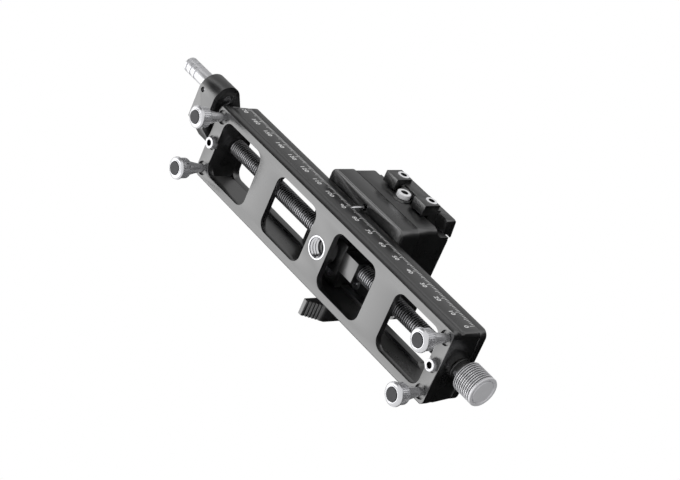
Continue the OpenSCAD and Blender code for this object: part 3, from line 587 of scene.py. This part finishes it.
class FOCUSRAIL_OT_feet(bpy.types.Operator):
    """Four turned feet: cup for the pad, flared rim, ribbed grip and concave cone"""

    bl_idname = "focusrail.feet"
    bl_label = "Feet"

    def execute(self, context):
        sizes = context.scene.rail_sizes
        low, high = box_of("foot_knob_scale")
        pad_low, pad_high = box_of("pad_knob_scale")
        floor = pad_low[2]
        cup = (pad_high - pad_low)[0] / 2 + 0.1
        rim = (high - low)[0] / 2
        height = high[2] - floor
        steps = COLUMNS * sizes.foot_ribs
        profile = [
            (1.5, 0), (1.5, cup - 0.02), (1.44, cup), (0.56, cup), (0.42, cup + 0.06), (0.36, cup + 0.2),
            (0.4, cup + 0.46), (0.52, cup + 0.6), (0.62, cup + 0.8), (0.74, cup + 1.2), (0.98, cup + 1.62),
            (1.28, rim - 0.18), (1.45, rim - 0.04), (1.7, rim), (2.05, rim), (2.2, rim - 0.1),
            (2.28, rim - 0.42), (2.4, 4.72), (2.62, 4.8), (6.3, 4.78), (6.58, 4.62), (6.7, 4.0), (7.4, 3.68),
            (8.4, 3.35), (9.4, 3.05), (10.9, 2.72), (12.4, 2.45), (14.4, 2.12), (16.0, 2.02), (16.5, 2.0),
            (16.6, 1.5), (height, 1.5), (height, 0)]
        grip_low, grip_high, grip_core = 2.5, 6.45, 4.5
        pads = finish_of("pad_rubber", rubber, tuple(context.scene.rail_colours.rubber))
        for corner in ("knob_scale", "knob_lever", "crank_scale", "crank_lever"):
            node = "foot_" + corner
            centre = Vector((*centre_of(node)[:2], floor)) * MM
            piece = lathe(profile, "Z", centre, steps)
            flute(piece, "Z", steps, grip_low, grip_high, 0.93, grip_core)
            surface = bright("foot_steel_" + corner, "Z", centre, 0.24, metallic=0.72)
            settle(piece, node + "_turned", node, surface, "polished_steel", node, smooth=26)
            paint(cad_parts["pad_" + corner], pads)
        return {"FINISHED"}


class FOCUSRAIL_OT_screw(bpy.types.Operator):
    """Lead screw with its helical thread, collar and bushes"""

    bl_idname = "focusrail.lead_screw"
    bl_label = "Lead screw"

    def execute(self, context):
        sizes = context.scene.rail_sizes
        low, high = box_of("lead_screw")
        crest = (high - low)[1] / 2
        root = crest - sizes.thread_depth / MM
        centre = Vector((0, *centre_of("lead_screw")[1:])) * MM
        pitch = sizes.pitch / MM
        end_wall = 7.1
        end = box_of("rail_body")[1][0] - end_wall
        turns = int(2 * end / pitch) + 4
        start = -turns * pitch / 2
        shape = [(0, root), (0.12, root), (0.44, crest), (0.56, crest), (0.88, root), (1, root)]
        bpy.ops.object.select_all(action="DESELECT")
        thread = strip([((start + a * pitch) * MM, r * MM, 0) for a, r in shape])
        thread.location = centre
        wind = thread.modifiers.new("thread", "SCREW")
        wind.axis = "X"
        wind.angle = 2 * pi
        wind.screw_offset = sizes.pitch
        wind.iterations = turns
        wind.steps = wind.render_steps = 24
        wind.use_merge_vertices = True
        wind.merge_threshold = SEAM
        only(thread)
        bpy.ops.object.modifier_apply(modifier="thread")
        edit(thread)
        for side in (-1, 1):
            bpy.ops.mesh.select_all(action="SELECT")
            bpy.ops.mesh.bisect(
                plane_co=(side * end * MM, 0, 0), plane_no=(side, 0, 0), use_fill=True, clear_outer=True)
        bpy.ops.mesh.select_all(action="SELECT")
        bpy.ops.mesh.remove_doubles(threshold=SEAM)
        bpy.ops.mesh.normals_make_consistent(inside=False)
        leave()
        shank, tail, tail_length = 3, 2.5, 8.8
        journal = lathe(
            [(low[0], 0), (low[0], shank - 0.3), (low[0] + 0.3, shank), (high[0] - tail_length, shank),
             (high[0] - tail_length + 0.2, tail), (high[0], tail), (high[0], 0)], "X", centre, 48)
        # Painted shade: the colour goes almost black from the crest down to the thread's roots, and on the
        # thinner journal.
        surface = bright(
            "screw_thread", "X", centre, 0.3, metallic=0.9, crest=crest * MM, depth=sizes.thread_depth)
        settle(joined([thread, journal]), "lead_screw_thread", "screw", surface, "screw_steel", "lead_screw")
        broken_edges("thrust_collar", "screw", black(), "dark_alloy", sizes.fine_edge)
        broken_edges("collar_set_screw", "screw", steel(), "screw_steel", sizes.fine_edge / 2)
        for node in ("bush_knob_end", "bush_crank_end"):
            broken_edges(node, "rail", black(), "dark_alloy", sizes.fine_edge)
        return {"FINISHED"}


class FOCUSRAIL_OT_knob(bpy.types.Operator):
    """Knob: ring grooves crossed by a straight knurl, and its end cap"""

    bl_idname = "focusrail.knob"
    bl_label = "Knob"

    def execute(self, context):
        sizes = context.scene.rail_sizes
        low, high = box_of("knob")
        cap_low, cap_high = box_of("knob_end_cap")
        centre = Vector((low[0], *centre_of("knob")[1:])) * MM
        r = (high - low)[1] / 2
        length = high[0] - low[0]
        disc = (cap_high - cap_low)[1] / 2
        steps = COLUMNS * sizes.knurl_teeth
        rim, bore, groove, ring = 0.7, 3.4, 0.42, 1.15
        bands = round((length - 2 * rim) / ring)
        pitch = (length - 2 * rim) / bands
        profile = [(0, bore), (0, r - 0.6), (0.16, r - 0.16), (0.34, r)]
        for i in range(bands):
            start = rim + i * pitch
            profile += [(start, r), (start + 0.06, r - groove), (start + 0.44, r - groove), (start + 0.52, r)]
        back = length - 0.6
        profile += [(back, r), (back, disc + 0.3), (back - 1, disc - 0.2), (back - 1, bore)]
        body = lathe(profile, "X", centre, steps)
        flute(body, "X", steps, 0.2, length - rim, 0.98, r - 0.3)
        # Painted shade: the colour goes almost black below the knob's outer radius, in the ring grooves, the
        # knurl flutes and on the end faces.
        surface = bright("knob_steel", "X", centre, 0.3, metallic=0.4, crest=r * MM, depth=groove * MM)
        settle(body, "knob_grip", "screw", surface, "polished_steel", "knob", smooth=26)
        face = cap_high[0] - low[0] + 0.3
        end = lathe(
            [(back, disc + 0.2), (back, r), (length - 0.36, r), (length - 0.12, r - 0.14), (length, r - 0.42),
             (length, disc + 0.75), (length - 0.14, disc + 0.5), (length - 0.5, disc + 0.24),
             (length - 0.9, disc), (face - 0.62, disc), (face - 0.3, disc - 0.06), (face - 0.05, disc - 0.34),
             (face, disc - 0.66), (face, 0)], "X", centre, 96)
        surface = bright("knob_disc_steel", "X", centre, 0.42, metallic=0.35)
        settle(end, "knob_end_disc", "screw", surface, "polished_steel", "knob_end_cap")
        return {"FINISHED"}


class FOCUSRAIL_OT_crank(bpy.types.Operator):
    """Crank arm, its axle and set screws, and the turning handle"""

    bl_idname = "focusrail.crank"
    bl_label = "Crank"

    def execute(self, context):
        sizes = context.scene.rail_sizes
        broken_edges("crank_arm", "screw", black(), "black_alloy", sizes.edge)
        for node in ("crank_set_screws", "handle_axle"):
            broken_edges(node, "screw", steel(), "screw_steel", sizes.small_edge)
        surface = bright("handle_steel", "X", centre_of("crank_handle") * MM, 0.3, metallic=0.55)
        broken_edges("crank_handle", "handle", surface, "polished_steel", 0.9 * sizes.edge, segments=3)
        return {"FINISHED"}


class FOCUSRAIL_OT_carriage(bpy.types.Operator):
    """Carriage plate, clamp block, shoe, nut and pointer"""

    bl_idname = "focusrail.carriage"
    bl_label = "Carriage"

    def execute(self, context):
        sizes = context.scene.rail_sizes
        for node, slot, width in (
                ("carriage_plate", "black_alloy", sizes.edge), ("clamp_block", "black_alloy", sizes.edge),
                ("slide_shoe", "dark_alloy", sizes.fine_edge), ("lead_nut", "black_alloy", sizes.fine_edge)):
            broken_edges(node, "carriage", black(), slot, width)
        surface = bright("pin_steel", "Z", centre_of("index_pin") * MM)
        broken_edges("index_pin", "carriage", surface, "polished_steel", sizes.small_edge)
        return {"FINISHED"}


class FOCUSRAIL_OT_clamp(bpy.types.Operator):
    """Dovetail jaws, cover plate, cams, pins, spring and shaft of the clamp"""

    bl_idname = "focusrail.clamp"
    bl_label = "Clamp"

    def execute(self, context):
        sizes = context.scene.rail_sizes
        corner = 4.5
        for node, body in (("fixed_jaw", "carriage"), ("moving_jaw", "jaw")):
            low, high = box_of(node)
            if node == "fixed_jaw":
                low[1] = box_of("jaw_cover")[1][1]
            broken_edges(
                node, body, black(), "black_alloy", sizes.edge,
                before=lambda piece: round_corners(piece, low, high, corner, outer=True))
        broken_edges("jaw_cover", "carriage", black(), "dark_alloy", sizes.fine_edge)
        for node in ("cam_ring", "lever_cam", "jaw_guide_pins", "jaw_spring", "pull_shaft"):
            paint(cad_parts[node], steel())
        return {"FINISHED"}


class FOCUSRAIL_OT_lever(bpy.types.Operator):
    """Release lever with its ridged thumb face"""

    bl_idname = "focusrail.lever"
    bl_label = "Release lever"

    def execute(self, context):
        sizes = context.scene.rail_sizes
        broken_edges("clamp_lever", "lever", black(), "black_alloy", 1.4 * sizes.edge, segments=3)
        surface = bright("cap_steel", "Y", centre_of("lever_cap_screw") * MM)
        broken_edges("lever_cap_screw", "carriage", surface, "polished_steel", sizes.fine_edge)
        return {"FINISHED"}


class FOCUSRAIL_OT_fasteners(bpy.types.Operator):
    """Tripod insert with its thread, stop screws, jaw screws, tension screw and hidden screws"""

    bl_idname = "focusrail.fasteners"
    bl_label = "Fasteners"

    def execute(self, context):
        sizes = context.scene.rail_sizes
        low, high = box_of("tripod_insert")
        centre = Vector((*centre_of("tripod_insert")[:2], low[2])) * MM
        outer, tall = (high - low)[0] / 2, high[2] - low[2]
        crest, root, pitch, first, rim = 3.98, 4.66, 25.4 / 16, 0.55, 0.6
        thread = []
        for turn in range(3):
            start = first + turn * pitch
            thread += [(start, root), (start + 0.12, root), (start + 0.7, crest), (start + 0.9, crest)]
        profile = [
            (0, root + 0.15), (0, outer - 0.22), (0.22, outer), (1, outer), (1, outer - rim),
            (tall, outer - rim), (tall, crest), *reversed(thread), (0, root + 0.15)]
        insert = lathe(profile, "Z", centre, 96)
        surface = bright("insert_steel", "Z", centre)
        settle(insert, "tripod_insert_thread", "rail", surface, "polished_steel", "tripod_insert")
        nickel, dull_nickel = (0.95, 0.95, 0.97), (0.6, 0.6, 0.62)
        head = 5.5
        for node, body, pair, colour, metallic, axis, socket, width in (
                ("stop_screws", "rail", True, dull_nickel, 0.7, "Z", 1.6, 0.3),
                ("fixed_jaw_screws", "carriage", True, nickel, 0.2, "Y", 1.6, 0.22),
                ("tension_screw", "carriage", False, nickel, 0.2, "Y", 1.8, 0.9)):
            low, high = box_of(node)
            apart = high[0] - low[0] - head if pair else 0.0
            # Each of these screws gets painted shade over its socket.
            surface = finish_of(
                node + "_steel", socketed, colour, 0.3, metallic, axis, (low + high) / 2 * MM, socket * MM,
                apart * MM)
            broken_edges(node, body, surface, "polished_steel", width * MM, segments=3)
        for node, body in (
                ("guide_plate_screws", "rail"), ("carriage_screws", "carriage"), ("shoe_screws", "carriage"),
                ("nut_screws", "carriage")):
            broken_edges(node, body, steel(), "screw_steel", 1.2 * sizes.small_edge)
        return {"FINISHED"}


class FOCUSRAIL_OT_stage(bpy.types.Operator):
    """Camera, soft lights, white room and a floor that shows from above only"""

    bl_idname = "focusrail.stage"
    bl_label = "Studio"

    def execute(self, context):
        scene = context.scene
        studio = scene.rail_studio
        self.add_camera(scene)
        self.add_light("base_softbox", (-0.62, 0.4, -0.68), 0.9, 1.1, studio.window_light)
        self.add_light("top_softbox", (-0.25, -0.35, 0.9), 1.0, 1.0, studio.top_light)
        self.add_floor(studio)
        self.add_flag("knob_end_flag", (0.6, 0.43, 0.675), 0.62, 2.1, 0.0)
        self.add_flag("scale_side_card", (-0.6, -0.43, 0.675), 0.8, 1.5, 0.38)
        self.add_flag("crank_side_flag", (-0.6, 0.5, 0.62), 0.95, 0.8, 0.0)
        self.add_flag("near_flag", (-0.63, -0.56, -0.53), 0.9, 0.62, 0.0)
        self.add_room(scene, studio)
        scene.view_settings.view_transform = "Standard"
        return {"FINISHED"}

    def add_camera(self, scene):
        data = bpy.data.cameras.new("photo_camera")
        camera = bpy.data.objects.new("photo_camera", data)
        scene.collection.objects.link(camera)
        place = Vector((558.3, -404.6, -617.1)) * MM
        right = Vector((0.5681, -0.3659, 0.7371)).normalized()
        back = Vector((0.5991, -0.4302, -0.6753)).normalized()
        focal_pixels, frame_pixels = 2113.9, 680.0
        up = back.cross(right).normalized()
        right = up.cross(back)
        turn = Matrix((right, up, back)).transposed().to_4x4()
        turn.translation = place
        camera.matrix_world = turn
        data.sensor_width = 36.0
        data.lens = data.sensor_width * focal_pixels / frame_pixels
        data.clip_start, data.clip_end = 0.05, 20
        scene.camera = camera

    def add_light(self, name, direction, distance, size, power):
        way = Vector(direction).normalized()
        data = bpy.data.lights.new(name, "AREA")
        data.shape = "SQUARE"
        data.size = size
        data.energy = power
        lamp = bpy.data.objects.new(name, data)
        lamp.location = way * distance
        lamp.rotation_mode = "QUATERNION"
        lamp.rotation_quaternion = way.to_track_quat("Z", "Y")
        lamp.visible_camera = False
        bpy.context.scene.collection.objects.link(lamp)

    def add_floor(self, studio):
        level = min(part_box("pad_" + c)[0][2] for c in ("knob_scale", "crank_lever"))
        bpy.ops.object.select_all(action="DESELECT")
        bpy.ops.mesh.primitive_plane_add(size=6, location=(0, 0, level))
        floor = bpy.context.object
        floor.name = "studio_floor"
        bpy.ops.object.transform_apply(location=True)
        look = Finish("floor_pale", tuple(studio.floor), 0.9)
        out = look.tree.nodes["Material Output"]
        camera_ray = Signal(look.tree, look.node("LightPath").outputs["Is Camera Ray"])
        from_below = Signal(look.tree, look.node("NewGeometry").outputs["Backfacing"])
        seen = camera_ray * (1 - from_below)
        clear = look.node("BsdfTransparent")
        mix = look.node("MixShader", {}, {0: seen, 1: clear.outputs[0], 2: look.shader.outputs[0]})
        look.tree.links.new(mix.outputs[0], out.inputs["Surface"])
        paint(floor, look.material)

    def add_flag(self, name, direction, distance, size, level):
        """A card out of sight, black or grey, that one side of the pieces reflects."""
        way = Vector(direction).normalized()
        bpy.ops.object.select_all(action="DESELECT")
        bpy.ops.mesh.primitive_plane_add(size=size)
        card = bpy.context.object
        card.name = name
        card.rotation_mode = "QUATERNION"
        card.rotation_quaternion = way.to_track_quat("Z", "Y")
        card.location = way * distance
        look = Finish(name + "_paint", (0.002, 0.002, 0.002), 1.0)
        look.shader.inputs["Specular IOR Level"].default_value = 0.0
        look.shader.inputs["Emission Color"].default_value = (1, 1, 1, 1)
        look.shader.inputs["Emission Strength"].default_value = level
        paint(card, look.material)
        card.visible_camera = False
        card.visible_shadow = False
        card.visible_diffuse = False

    def add_room(self, scene, studio):
        world = bpy.data.worlds.new("white_room")
        world.use_nodes = True
        scene.world = world
        tree = world.node_tree
        ground = tree.nodes["Background"]
        ground.inputs["Color"].default_value = (1, 1, 1, 1)
        rays = tree.nodes.new("ShaderNodeLightPath")
        seen = Signal(tree, rays.outputs["Is Camera Ray"])
        for kind in ("Is Glossy Ray", "Is Transmission Ray"):
            seen = seen.maths("MAXIMUM", seen, Signal(tree, rays.outputs[kind]))
        level = seen * (1 - studio.room) + studio.room
        tree.links.new(level.socket, ground.inputs["Strength"])


class FOCUSRAIL_PT_panel(bpy.types.Panel):
    """Lists the builders and their settings in the sidebar"""

    bl_idname = "FOCUSRAIL_PT_panel"
    bl_label = "Macro Focusing Rail"
    bl_space_type = "VIEW_3D"
    bl_region_type = "UI"
    bl_category = "Focusing Rail"

    def draw(self, context):
        for title, group in (("Sizes", "rail_sizes"), ("Colours", "rail_colours"), ("Studio", "rail_studio")):
            area = self.layout.box()
            area.label(text=title)
            settings = getattr(context.scene, group)
            for name in settings.__annotations__:
                area.prop(settings, name)
        for piece in PIECES:
            self.layout.operator(piece.bl_idname)


GROUPS = {"rail_sizes": RailSizes, "rail_colours": RailColours, "rail_studio": RailStudio}
PIECES = (
    FOCUSRAIL_OT_channel, FOCUSRAIL_OT_scale, FOCUSRAIL_OT_feet, FOCUSRAIL_OT_screw, FOCUSRAIL_OT_knob,
    FOCUSRAIL_OT_crank, FOCUSRAIL_OT_carriage, FOCUSRAIL_OT_clamp, FOCUSRAIL_OT_lever, FOCUSRAIL_OT_fasteners,
    FOCUSRAIL_OT_stage)


def register():
    for group in (*GROUPS.values(), *PIECES, FOCUSRAIL_PT_panel):
        bpy.utils.register_class(group)
    for name, group in GROUPS.items():
        setattr(bpy.types.Scene, name, bpy.props.PointerProperty(type=group))


def unregister():
    for name in GROUPS:
        delattr(bpy.types.Scene, name)
    for group in reversed((*GROUPS.values(), *PIECES, FOCUSRAIL_PT_panel)):
        bpy.utils.unregister_class(group)


def main():
    register()
    bpy.ops.focusrail.channel()
    bpy.ops.focusrail.scale()
    bpy.ops.focusrail.feet()
    bpy.ops.focusrail.lead_screw()
    bpy.ops.focusrail.knob()
    bpy.ops.focusrail.crank()
    bpy.ops.focusrail.carriage()
    bpy.ops.focusrail.clamp()
    bpy.ops.focusrail.lever()
    bpy.ops.focusrail.fasteners()
    bpy.ops.focusrail.stage()


if __name__ == "__main__":
    main()
